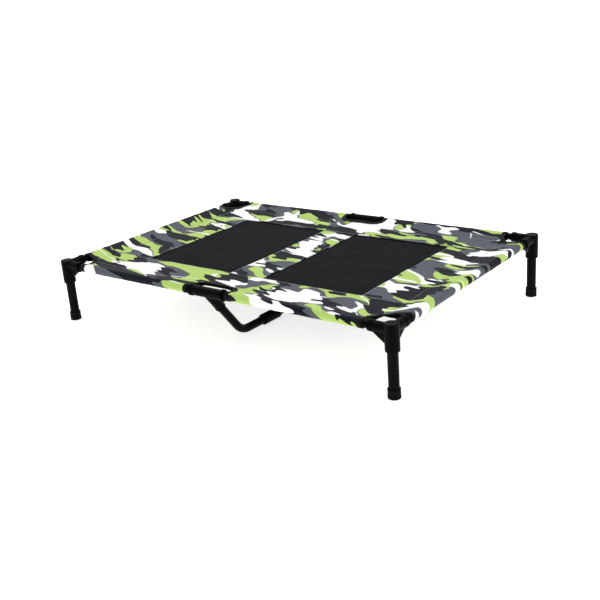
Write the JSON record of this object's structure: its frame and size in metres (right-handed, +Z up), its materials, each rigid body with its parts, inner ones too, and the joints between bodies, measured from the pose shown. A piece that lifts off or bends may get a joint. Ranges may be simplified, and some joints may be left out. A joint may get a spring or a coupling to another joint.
{
  "type": "elevated dog bed",
  "caption": "Low rectangular cot for a dog: camouflage cloth and dark mesh stretched over a black tube frame on short legs, with a bent support bar beneath.",
  "frame": {"origin": "on the floor, under the middle of the cot", "axes": "+X along the long side to the right, +Y to the rear, +Z up"},
  "size_m": [1.099, 0.759, 0.1787],
  "materials": {
    "fitting_plastic": "satin moulded black plastic",
    "tube_steel": "satin black powder coat",
    "foot_rubber": "matte black",
    "camo_cloth": "printed woven polyester in white, lime, slate grey and near-black patches",
    "mesh_cloth": "coated open weave, near-black",
    "binding_tape": "black woven tape"
  },
  "bodies": {
    "frame": {"corner_fitting_front_left": "fitting_plastic", "long_rail_front_left": "tube_steel", "corner_fitting_front_right": "fitting_plastic", "long_rail_front_right": "tube_steel", "corner_fitting_rear_left": "fitting_plastic", "long_rail_rear_left": "tube_steel", "corner_fitting_rear_right": "fitting_plastic", "long_rail_rear_right": "tube_steel", "side_rail_left": "tube_steel", "side_rail_right": "tube_steel", "centre_fitting_front": "fitting_plastic", "support_bar_front": "tube_steel", "support_coupler_front": "fitting_plastic", "centre_fitting_rear": "fitting_plastic", "support_bar_rear": "tube_steel", "support_coupler_rear": "fitting_plastic", "support_bar_middle": "tube_steel", "front_border": "camo_cloth", "rear_border": "camo_cloth", "left_border": "camo_cloth", "right_border": "camo_cloth", "centre_strip": "camo_cloth", "mesh_panel_left": "mesh_cloth", "mesh_panel_right": "mesh_cloth", "corner_binding_front_left": "binding_tape", "corner_binding_front_right": "binding_tape", "corner_binding_rear_left": "binding_tape", "corner_binding_rear_right": "binding_tape", "centre_binding_front": "binding_tape", "centre_binding_rear": "binding_tape"},
    "leg_front_left": {"leg_tube_front_left": "tube_steel", "foot_cap_front_left": "foot_rubber"},
    "leg_front_right": {"leg_tube_front_right": "tube_steel", "foot_cap_front_right": "foot_rubber"},
    "leg_rear_left": {"leg_tube_rear_left": "tube_steel", "foot_cap_rear_left": "foot_rubber"},
    "leg_rear_right": {"leg_tube_rear_right": "tube_steel", "foot_cap_rear_right": "foot_rubber"}
  },
  "joints": [
    {"name": "leg_slide_front_left", "type": "slide", "parent": "frame", "child": "leg_front_left", "axis": [0, 0, -1], "range_m": [0, 0.03]},
    {"name": "leg_slide_front_right", "type": "slide", "parent": "frame", "child": "leg_front_right", "axis": [0, 0, -1], "range_m": [0, 0.03]},
    {"name": "leg_slide_rear_left", "type": "slide", "parent": "frame", "child": "leg_rear_left", "axis": [0, 0, -1], "range_m": [0, 0.03]},
    {"name": "leg_slide_rear_right", "type": "slide", "parent": "frame", "child": "leg_rear_right", "axis": [0, 0, -1], "range_m": [0, 0.03]}
  ]
}
